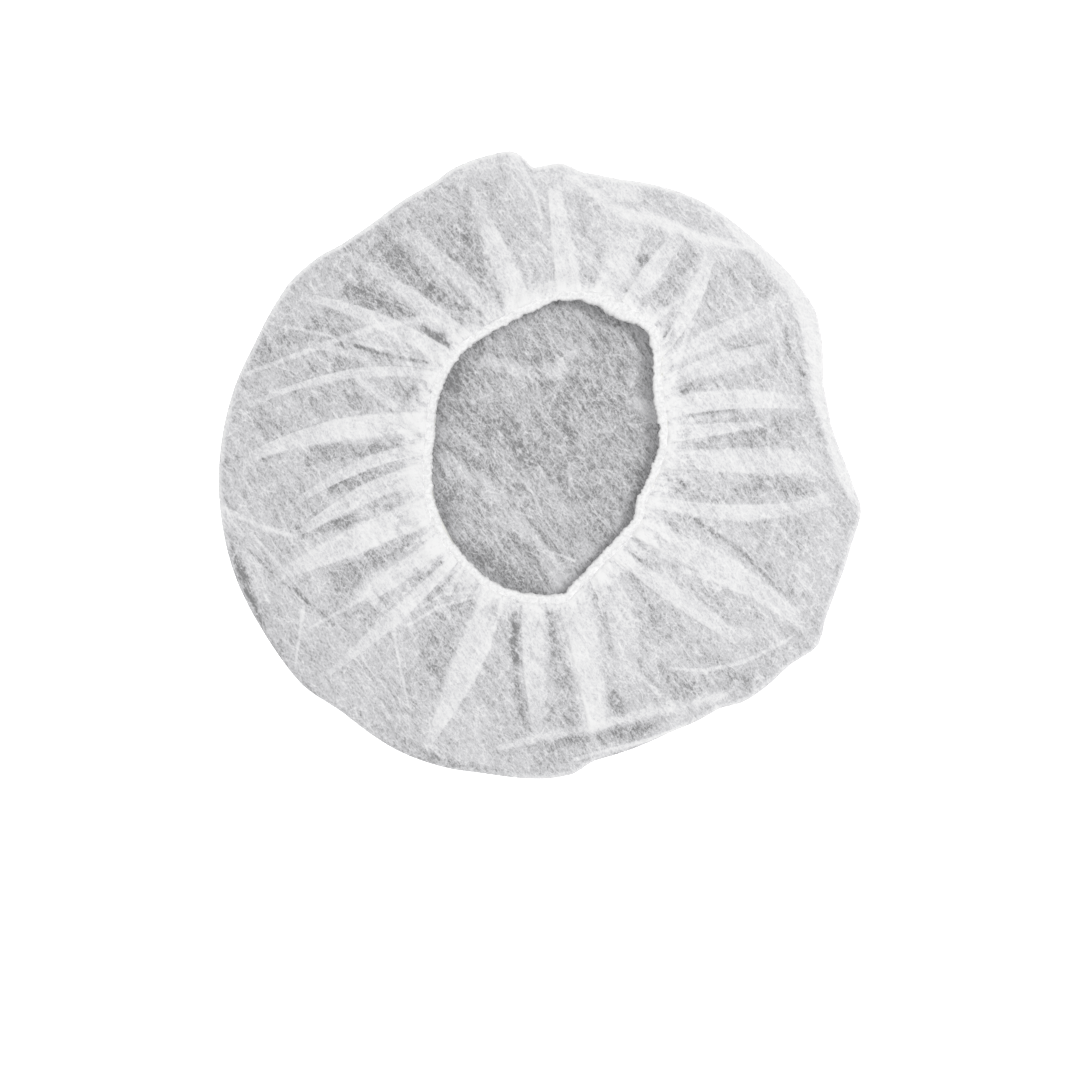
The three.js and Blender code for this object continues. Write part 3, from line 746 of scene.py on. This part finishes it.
def add_node(tree, kind, settings=None, inputs=None):
    """Add a shader node: settings are its properties, inputs are values, or sockets to link."""
    node = tree.nodes.new(kind)
    for name, value in (settings or {}).items():
        setattr(node, name, value)
    for name, value in (inputs or {}).items():
        if isinstance(value, bpy.types.NodeSocket):
            tree.links.new(value, node.inputs[name])
        else:
            node.inputs[name].default_value = value
    return node


def fill_ramp(ramp, stops):
    """Set a colour ramp's stops from pairs of a place from 0 to 1 and a hex colour."""
    elements = ramp.color_ramp.elements
    while len(elements) < len(stops):
        elements.new(0.5)
    for element, (place, colour) in zip(elements, stops):
        element.position = place
        element.color = linear(colour)


def new_material(name):
    """An empty node material, with its tree."""
    material = bpy.data.materials.new(name)
    material.use_nodes = True
    material.node_tree.nodes.clear()
    return material, material.node_tree


# %% [markdown]
# ## Spunbond cloth
#
# The cloth is spunbond polypropylene: endless fine filaments laid down at random and pressed
# together hot. The eye sees a matt, slightly see-through web, with lighter filaments, darker thin
# places and soft clouds. Each ply adds white, so a pleat is a pale band with crisp edges. A filament
# is 0.02 mm thick, which no render shows, so the pattern draws bundles of them, 0.5 to 1 mm wide.

# %% The web's patterns
# Each row: turn in degrees, stretch, spacing in millimetres, octaves of finer noise, roughness, and
# the plies that the noise adds at its highest and takes at its lowest.
GRAIN = [
    (-54, 3.4, 2.9, 3.0, 0.9, 4.0),
    (-60, 1.7, 0.9, 1.0, 0.8, 3.2),
    (-50, 1.8, 22.0, 2.0, 0.5, 1.3),
    (-57, 8.0, 2.6, 0.0, 0.5, 1.1),
]
# Each row: turn in degrees, stretch along the filaments, spacing in millimetres, how far from its
# middle value the noise still draws a filament, and the plies that it adds.
FILAMENTS = [
    (-54, 3.6, 4.4, 0.03, 1.7),
    (-22, 2.8, 4.2, 0.03, 1.5),
    (64, 2.8, 4.0, 0.03, 1.5),
]
FILAMENT_MEAN = 0.75  # what the filaments add on average


def turned_noise(tree, place, turn, stretch, spacing, detail, roughness, twist=0.0):
    """Noise on object coordinates, turned and stretched along one direction."""
    mapping = add_node(tree, "ShaderNodeMapping", {"vector_type": "TEXTURE"}, {
        "Vector": place, "Rotation": (0, 0, radians(turn)), "Scale": (stretch, 1, 1)})
    return add_node(tree, "ShaderNodeTexNoise", {}, {
        "Vector": mapping.outputs["Vector"], "Scale": 1 / (spacing * MM), "Detail": detail,
        "Roughness": roughness, "Distortion": twist}).outputs["Fac"]


def web_plies(tree, place, total):
    """Plies with the web's grain and filaments added to them.

    Where a filament's noise passes its middle value, a pale line runs."""
    for turn, stretch, spacing, octaves, roughness, weight in GRAIN:
        noise = turned_noise(tree, place, turn, stretch, spacing, octaves, roughness)
        total = add_node(tree, "ShaderNodeMath", {"operation": "MULTIPLY_ADD"}, {
            0: noise, 1: 2 * weight, 2: total}).outputs[0]
    for turn, stretch, spacing, width, weight in FILAMENTS:
        noise = turned_noise(tree, place, turn, stretch, spacing, 0.0, 0.5, 0.6)
        away = add_node(tree, "ShaderNodeMath", {"operation": "SUBTRACT"}, {0: noise, 1: 0.5})
        size = add_node(tree, "ShaderNodeMath", {"operation": "ABSOLUTE"}, {0: away.outputs[0]})
        line = add_node(tree, "ShaderNodeMapRange", {"interpolation_type": "SMOOTHSTEP"}, {
            "Value": size.outputs[0], "From Min": 0.0, "From Max": width, "To Min": weight,
            "To Max": 0.0})
        total = add_node(tree, "ShaderNodeMath", {"operation": "ADD"}, {
            0: total, 1: line.outputs["Result"]}).outputs[0]
    middle = sum(row[-1] for row in GRAIN) + FILAMENT_MEAN
    return add_node(tree, "ShaderNodeMath", {"operation": "SUBTRACT"}, {
        0: total, 1: middle}).outputs[0]


# %% [markdown]
# ## Creases
#
# Where the imported cap was folded, sharp creases show as thin pale lines, with dark lines of painted
# shade beside them.
# They are finer than the mesh, so the material draws them: each is a row of short straight strokes,
# measured across and along from its start. A node group draws one stroke.

# %% Creases, each a line of places in degrees and millimetres, its widths and its added plies
SKIRT_CREASES = [
    {"at": [187.9, 192.7, 196.6], "reach": [173, 154, 137], "wide": [3, 2.6, 2.6], "plies": 1.4},
    {"at": [228.7, 236.5, 241.8], "reach": [119, 135, 149], "wide": [2, 1.4, 1.0], "plies": 1.2},
    {"at": [243.9, 234.9, 230.9], "reach": [80, 94, 112], "wide": [1.6, 1.8, 1.6], "plies": 1.1},
    {"at": [241.2, 233.1, 230.5], "reach": [79, 88, 100], "wide": [1.4, 1.4, 1.4], "plies": 0.9},
    {"at": [211.2, 219.5], "reach": [149, 171], "wide": [2.2, 1.2], "plies": 1.2},
    {"at": [217.5, 216.6, 215.5], "reach": [114, 132, 152], "wide": [2.6, 2.0, 1.6], "plies": 1.1},
    {"at": [193.5, 201, 207], "reach": [160, 150.5, 146], "wide": [1.4, 1.6, 1.4], "plies": 0.9},
    {"at": [128.4, 135.5, 142.9, 153.4, 162.9], "reach": [100, 108, 119, 138, 166],
     "wide": [4, 4, 3.6, 3, 2.2], "plies": 1.2},
    {"at": [154.7, 158.4], "reach": [108, 85], "wide": [4.4, 4.4], "plies": 1.1},
    {"at": [152.2, 148.7, 149.9], "reach": [140, 110, 97], "wide": [3.4, 4.4, 4.4], "plies": 0.9},
    {"at": [151.4, 145.6, 142.2], "reach": [156, 115, 100], "wide": [1.6, 1.8, 1.8], "plies": 0.9},
    {"at": [129.9, 136.1], "reach": [107, 140], "wide": [1.4, 1.0], "plies": 0.9},
    {"at": [302.7, 308.8, 316.2, 325.2], "reach": [131, 143, 154, 165], "wide": [1.6, 2.2, 2.6, 2.0],
     "plies": 1.2},
    {"at": [293, 295.5, 299], "reach": [118, 127, 148], "wide": [2.0, 3.4, 2.4], "plies": 1.0},
    {"at": [95, 91, 89.5], "reach": [169.3, 146.5, 132.9], "wide": [5.0, 2.4, 1.6], "plies": 1.5},
    {"at": [31.8, 42.7], "reach": [84, 110], "wide": [3.0, 2.6], "plies": 1.2},
    {"at": [52, 48.5], "reach": [95.5, 122.6], "wide": [2.4, 3.6], "plies": 0.9},
    {"at": [36, 24, 13, 1], "reach": [154, 143, 127, 123.5], "wide": [3, 2.4, 1.8, 1.4],
     "plies": 0.8},
    {"at": [276.8, 291.8, 299], "reach": [160.6, 160.3, 162], "wide": [2.0, 2.0, 1.2],
     "plies": 1.5},
    {"at": [277, 281.5], "reach": [87, 143], "wide": [2.0, 1.6], "plies": 0.9},
    {"at": [324.6, 323.5, 326.9], "reach": [75, 95, 117], "wide": [2.8, 2.8, 2.0], "plies": 1.0},
]
# Dark lines beside the creases and folds are painted shade: each takes plies where a fold's shade
# falls.
CREASE_PAINTED_SHADE = [
    {"at": [340.5, 336.7, 331.2], "reach": [89, 117, 158], "wide": [2.4, 3.0, 1.8], "plies": -1.1},
    {"at": [196.3, 203.4, 210.9, 218], "reach": [164, 154, 145, 141], "wide": [1.8, 2.2, 2.2, 1.8],
     "plies": -1.2},
    {"at": [28.5, 24, 18.9], "reach": [151, 147, 151], "wide": [3.6, 3.6, 2.6], "plies": -1.1},
    {"at": [24.4, 17.3], "reach": [154, 155], "wide": [2, 2.4], "plies": -1.0},
    {"at": [147.2, 143.8, 137.7], "reach": [118, 98, 81], "wide": [1.8, 2.4, 1.8], "plies": -1.4},
    {"at": [282, 290, 298], "reach": [162.3, 161.8, 162.6], "wide": [1.4, 1.6, 1.2], "plies": -1.3},
]
CROWN_CREASES = [
    {"at": [117.9, 103.5, 79.6, 72.7], "reach": [63.8, 53.6, 50.7, 63.7], "wide": [6, 8, 8, 5],
     "plies": 1.0},
    {"at": [176.4, 191.5, 210, 235, 264.5, 273.2], "reach": [51.6, 38.2, 28.2, 33.1, 39.3, 47.8],
     "wide": [8.7, 9.8, 9.8, 12, 7.6, 4.3], "plies": 0.95},
    {"at": [275.6, 281.6], "reach": [50.1, 67.6], "wide": [9.8, 15.2], "plies": 1.0},
    {"at": [273.4, 290], "reach": [46.2, 55.4], "wide": [1.5, 1.5], "plies": 1.6},
    {"at": [34, 24.7], "reach": [62.1, 67.5], "wide": [4, 9], "plies": 1.4},
    {"at": [180, 256, 273.4], "reach": [16.8, 15.7, 27.1], "wide": [1.3, 1.5, 1.1], "plies": 1.0},
    {"at": [233.2, 262.5], "reach": [29.9, 29], "wide": [1.4, 1.4], "plies": 1.1},
]
# Darker places on the crown: painted shade just inside the hem at the upper left and at the bottom,
# where the hem stands over the crown, and two darker patches across its middle.
CROWN_PATCHES_AND_PAINTED_SHADE = [
    {"at": [119.6, 138.8], "reach": [73.6, 64.2], "wide": [14, 12], "plies": -0.55},
    {"at": [123.9, 196], "reach": [38, 4], "wide": [8, 12], "plies": -0.35},
    {"at": [71.8, 10.4], "reach": [36.5, 18.2], "wide": [7, 9], "plies": -0.4},
    {"at": [240.2, 266.7], "reach": [60, 66.3], "wide": [9, 11], "plies": -0.45},
]


CREASE_DEPTH = 1.7  # how much of a crease's plies shows in the middle of its stroke
CREASE_SPREAD = 1.7  # a stroke's edge over the square of its half width, as its sides fade slowly


def stroke_group():
    """A node group that gives its plies on a stroke and 0 off it.

    With d the distance from the stroke's line and e the square of its edge's distance there, it
    gives plies times (1 - d²/e), and nothing past the edge."""
    tree = bpy.data.node_groups.new("crease_stroke", "ShaderNodeTree")
    for name, kind in (("Place", "NodeSocketVector"), ("Start", "NodeSocketVector"),
                       ("Direction", "NodeSocketVector"), ("Across", "NodeSocketVector"),
                       ("Length", "NodeSocketFloat"), ("Edge", "NodeSocketFloat"),
                       ("Widening", "NodeSocketFloat"), ("Plies", "NodeSocketFloat")):
        tree.interface.new_socket(name, in_out="INPUT", socket_type=kind)
    tree.interface.new_socket("Plies", in_out="OUTPUT", socket_type="NodeSocketFloat")
    given = add_node(tree, "NodeGroupInput").outputs
    from_start = add_node(tree, "ShaderNodeVectorMath", {"operation": "SUBTRACT"}, {
        0: given["Place"], 1: given["Start"]}).outputs["Vector"]
    across = add_node(tree, "ShaderNodeVectorMath", {"operation": "DOT_PRODUCT"}, {
        0: from_start, 1: given["Across"]}).outputs["Value"]
    along = add_node(tree, "ShaderNodeVectorMath", {"operation": "DOT_PRODUCT"}, {
        0: from_start, 1: given["Direction"]}).outputs["Value"]
    held = add_node(tree, "ShaderNodeClamp", {}, {
        "Value": along, "Min": 0.0, "Max": given["Length"]}).outputs["Result"]
    past = add_node(tree, "ShaderNodeMath", {"operation": "SUBTRACT"}, {0: along, 1: held}).outputs[0]
    square = add_node(tree, "ShaderNodeMath", {"operation": "MULTIPLY"}, {0: past, 1: past}).outputs[0]
    square = add_node(tree, "ShaderNodeMath", {"operation": "MULTIPLY_ADD"}, {
        0: across, 1: across, 2: square}).outputs[0]
    edge = add_node(tree, "ShaderNodeMath", {"operation": "MULTIPLY_ADD"}, {
        0: held, 1: given["Widening"], 2: given["Edge"]}).outputs[0]
    inside = add_node(tree, "ShaderNodeMapRange", {}, {
        "Value": square, "From Min": edge, "From Max": 0.0, "To Min": 0.0, "To Max": given["Plies"]})
    add_node(tree, "NodeGroupOutput", {}, {"Plies": inside.outputs["Result"]})
    return tree


def drawn_creases(tree, group, place, creases, joined_by):
    """Plies that a table of creases, or of painted shade, gives at a place: the most, or the least, of
    its strokes.
    """
    total = None
    for crease in creases:
        ends = polar(np.array(crease["at"], float), np.array(crease["reach"]) * MM, 0)
        edge = CREASE_SPREAD * (np.array(crease["wide"]) * MM / 2) ** 2
        for k, (start, end) in enumerate(zip(ends[:-1], ends[1:])):
            length = float(np.linalg.norm(end - start))
            run = (end - start) / length
            drawn = add_node(tree, "ShaderNodeGroup", {"node_tree": group}, {
                "Place": place, "Start": tuple(start), "Direction": tuple(run),
                "Across": (-run[1], run[0], 0.0), "Length": length, "Edge": float(edge[k]),
                "Widening": float((edge[k + 1] - edge[k]) / length),
                "Plies": CREASE_DEPTH * crease["plies"]}).outputs["Plies"]
            total = drawn if total is None else add_node(tree, "ShaderNodeMath", {
                "operation": joined_by}, {0: total, 1: drawn}).outputs[0]
    return total


# %% The cloth's material
# Plies, and the colour that so many plies show.
PLY_COLOURS = [(-1.5, "#888889"), (1.0, "#c4c4c6"), (2.0, "#cfcfd1"), (2.6, "#d4d4d6"),
               (3.4, "#dddddf"), (4.2, "#e4e4e5"), (7.0, "#f0f0f0")]
GATHER_PLIES = 5.0  # plies that the gathers' noise adds at its highest beside the hem
GATHER_SPACING = 2.3 * MM
GATHER_STRETCH = 2.8  # how much longer than wide a gather is
CRUMPLE = 8.0  # millimetres between the soft dents
# Polypropylene has an IOR of 1.49, and its matt filaments scatter a little light at the edges.
NONWOVEN = {"IOR": 1.49, "Specular IOR Level": 0.25, "Sheen Weight": 0.08, "Sheen Roughness": 0.5}


def spunbond_cloth():
    """Matt nonwoven: plies, creases, painted shade, gathers and the web add up, and their sum picks
    the colour.
    """
    material, tree = new_material("spunbond_polypropylene")
    coordinates = add_node(tree, "ShaderNodeTexCoord").outputs["Object"]
    flat_place = add_node(tree, "ShaderNodeVectorMath", {"operation": "MULTIPLY"}, {
        0: coordinates, 1: (1.0, 1.0, 0.0)}).outputs["Vector"]
    painted = {name: add_node(tree, "ShaderNodeAttribute", {"attribute_name": name}).outputs
               for name in ("plies", "on_skirt", "gathered", "wrapped")}
    group = stroke_group()
    above = add_node(tree, "ShaderNodeMath", {"operation": "ADD"}, {
        0: drawn_creases(tree, group, flat_place, SKIRT_CREASES, "MAXIMUM"),
        1: drawn_creases(tree, group, flat_place, CREASE_PAINTED_SHADE, "MINIMUM")}).outputs[0]
    below = add_node(tree, "ShaderNodeMath", {"operation": "ADD"}, {
        0: drawn_creases(tree, group, flat_place, CROWN_CREASES, "MAXIMUM"),
        1: drawn_creases(tree, group, flat_place, CROWN_PATCHES_AND_PAINTED_SHADE, "MINIMUM")}).outputs[0]
    creases = add_node(tree, "ShaderNodeMix", {"data_type": "FLOAT"}, {
        "Factor": painted["on_skirt"]["Fac"], "A": below, "B": above}).outputs["Result"]
    total = add_node(tree, "ShaderNodeMath", {"operation": "ADD"}, {
        0: creases, 1: painted["plies"]["Fac"]}).outputs[0]

    drum = add_node(tree, "ShaderNodeMapping", {"vector_type": "TEXTURE"}, {
        "Vector": painted["wrapped"]["Vector"], "Scale": (1.0, 1.0, GATHER_STRETCH)}).outputs["Vector"]
    gathers = add_node(tree, "ShaderNodeTexNoise", {}, {
        "Vector": drum, "Scale": 1 / GATHER_SPACING, "Detail": 2.0, "Roughness": 0.6,
        "Distortion": 0.8}).outputs["Fac"]
    gathers = add_node(tree, "ShaderNodeMath", {"operation": "SUBTRACT"}, {0: gathers, 1: 0.5})
    gathers = add_node(tree, "ShaderNodeMath", {"operation": "MULTIPLY"}, {
        0: gathers.outputs[0], 1: 2 * GATHER_PLIES})
    total = add_node(tree, "ShaderNodeMath", {"operation": "MULTIPLY_ADD"}, {
        0: gathers.outputs[0], 1: painted["gathered"]["Fac"], 2: total}).outputs[0]
    total = web_plies(tree, coordinates, total)

    fewest, most = PLY_COLOURS[0][0], PLY_COLOURS[-1][0]
    share = add_node(tree, "ShaderNodeMapRange", {}, {
        "Value": total, "From Min": fewest, "From Max": most}).outputs["Result"]
    ramp = add_node(tree, "ShaderNodeValToRGB", {}, {"Fac": share})
    fill_ramp(ramp, [((count - fewest) / (most - fewest), colour) for count, colour in PLY_COLOURS])
    crumple = turned_noise(tree, coordinates, -50, 1.5, CRUMPLE, 1.0, 0.5)
    bump = add_node(tree, "ShaderNodeBump", {}, {
        "Height": crumple, "Strength": 0.5, "Distance": 4.0 * MM})
    surface = add_node(tree, "ShaderNodeBsdfPrincipled", {}, {
        "Base Color": ramp.outputs["Color"], "Roughness": 0.82,
        "Normal": bump.outputs["Normal"], **NONWOVEN})
    add_node(tree, "ShaderNodeOutputMaterial", {}, {"Surface": surface.outputs["BSDF"]})
    return material


cloth.data.materials.append(spunbond_cloth())

# %% [markdown]
# ## The hem's cloth and the elastic
#
# In the shirred hem the same cloth lies six or more plies deep, so it looks almost plain white, with
# faint grey painted shade in the valleys between the gathers. The elastic inside it is a rubber core
# under a covering of white yarn: it hardly shows, and gets a faint ribbing, drawn coarser than its
# yarn.


# %% Two more materials
# The darker colour is painted shade for the valleys between the gathers, the lighter one the hem's own
# white.
SHIRRED_WHITE_AND_VALLEY_SHADE = ((0.3, "#dcdcdd"), (0.6, "#f6f6f6"))
YARN_COLOURS = ((0.0, "#d8d8d4"), (1.0, "#f0f0ec"))
RIB_SCALE = 100.0  # ribs about 3 mm apart, where the real yarn's are about 0.5 mm


def shirred_cloth():
    """White shirred nonwoven: the fine noise that bumps the gathers also paints shade in their
    valleys.
    """
    material, tree = new_material("shirred_polypropylene")
    coordinates = add_node(tree, "ShaderNodeTexCoord").outputs["Object"]
    gathers = turned_noise(tree, coordinates, 0, 1.0, 1.8, 3.0, 0.75, 0.4)
    ramp = add_node(tree, "ShaderNodeValToRGB", {}, {"Fac": gathers})
    fill_ramp(ramp, SHIRRED_WHITE_AND_VALLEY_SHADE)
    bump = add_node(tree, "ShaderNodeBump", {}, {
        "Height": gathers, "Strength": 0.4, "Distance": 0.25 * MM})
    surface = add_node(tree, "ShaderNodeBsdfPrincipled", {}, {
        "Base Color": ramp.outputs["Color"], "Roughness": 0.8,
        "Normal": bump.outputs["Normal"], **NONWOVEN})
    add_node(tree, "ShaderNodeOutputMaterial", {}, {"Surface": surface.outputs["BSDF"]})
    return material


def covered_elastic():
    """White covered elastic: faint ribs, as of yarn wound round it."""
    material, tree = new_material("covered_elastic")
    coordinates = add_node(tree, "ShaderNodeTexCoord").outputs["Object"]
    ribs = add_node(tree, "ShaderNodeTexWave", {"wave_type": "RINGS", "rings_direction": "Z"}, {
        "Vector": coordinates, "Scale": RIB_SCALE, "Distortion": 2.0, "Detail": 2.0})
    ramp = add_node(tree, "ShaderNodeValToRGB", {}, {"Fac": ribs.outputs["Fac"]})
    fill_ramp(ramp, YARN_COLOURS)
    surface = add_node(tree, "ShaderNodeBsdfPrincipled", {}, {
        "Base Color": ramp.outputs["Color"], "Roughness": 0.7})
    add_node(tree, "ShaderNodeOutputMaterial", {}, {"Surface": surface.outputs["BSDF"]})
    return material


hem.data.materials.append(shirred_cloth())
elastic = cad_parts["elastic_band"]
elastic.material_slots[0].material = covered_elastic()

# %% [markdown]
# ## Floor, light and camera
#
# The cap lies on a plain pale floor, seen from straight above. A white tent and a wide lamp nearly
# overhead light it evenly, and a smaller soft lamp from the upper right lights the slopes that face
# it and leaves the narrow shadow inside the hem.

# %% The floor
FLOOR_SIZE = 6.0
FLOOR_WHITE = "#f4f4f4"
FLOOR_GLOW = 0.9
WHITE = (1.0, 1.0, 1.0, 1.0)


def studio_floor():
    """A wide square under the cap: white acrylic lit from below as well, so shadows stay faint."""
    half = FLOOR_SIZE / 2
    corners = np.array([[-half, -half, 0], [half, -half, 0], [half, half, 0], [-half, half, 0]])
    floor = mesh_piece("floor", corners, np.array([[0, 1, 2, 3]]))
    material, tree = new_material("opal_acrylic")
    surface = add_node(tree, "ShaderNodeBsdfPrincipled", {}, {
        "Base Color": linear(FLOOR_WHITE), "Roughness": 0.9, "Specular IOR Level": 0.1,
        "Emission Color": WHITE, "Emission Strength": FLOOR_GLOW})
    add_node(tree, "ShaderNodeOutputMaterial", {}, {"Surface": surface.outputs["BSDF"]})
    floor.data.materials.append(material)


studio_floor()

# %% Light
TENT_STRENGTH = 0.345
# Each lamp: its name, its place and its width in metres, and its power in watts.
LAMPS = [("key_lamp", (0.60, 0.22, 1.87), 0.42, 13.5),
         ("overhead_lamp", (-0.3, -0.2, 2.9), 1.6, 34.5)]

scene = bpy.context.scene
scene.view_settings.view_transform = "Standard"
tent = bpy.data.worlds.new("white_tent")
tent.use_nodes = True
tent.node_tree.nodes["Background"].inputs["Color"].default_value = WHITE
tent.node_tree.nodes["Background"].inputs["Strength"].default_value = TENT_STRENGTH
scene.world = tent
for name, place, size, power in LAMPS:
    lamp = bpy.data.objects.new(name, bpy.data.lights.new(name, "AREA"))
    lamp.data.energy = power
    lamp.data.size = size
    lamp.location = place
    lamp.rotation_euler = Vector(place).to_track_quat("Z", "Y").to_euler()
    scene.collection.objects.link(lamp)

# %% Camera
VIEW_WIDTH = 0.5859  # metres across the picture at the cap
VIEW_DROP = 0.0407  # how far the picture's middle lies below the cap's middle
CAMERA_HEIGHT = 2.2
SENSOR = 36.0  # millimetres

camera = bpy.data.objects.new("camera", bpy.data.cameras.new("camera"))
camera.data.sensor_width = SENSOR
camera.data.sensor_fit = "HORIZONTAL"
camera.data.lens = SENSOR * CAMERA_HEIGHT / VIEW_WIDTH
camera.location = (0.0, -VIEW_DROP, CAMERA_HEIGHT)
scene.collection.objects.link(camera)
scene.camera = camera

# %% [markdown]
# ## What each piece stands for
#
# The cloth takes the place of the frame's plain wall, and the roll takes the place of its plain
# casing. Both ride on the one body that the cap has.

# %% Riding and replacing
for piece, node, slot in ((cloth, "cap_body", "nonwoven_cloth"),
                          (hem, "hem_casing", "gathered_hem")):
    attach(piece, "root")
    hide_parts(node)
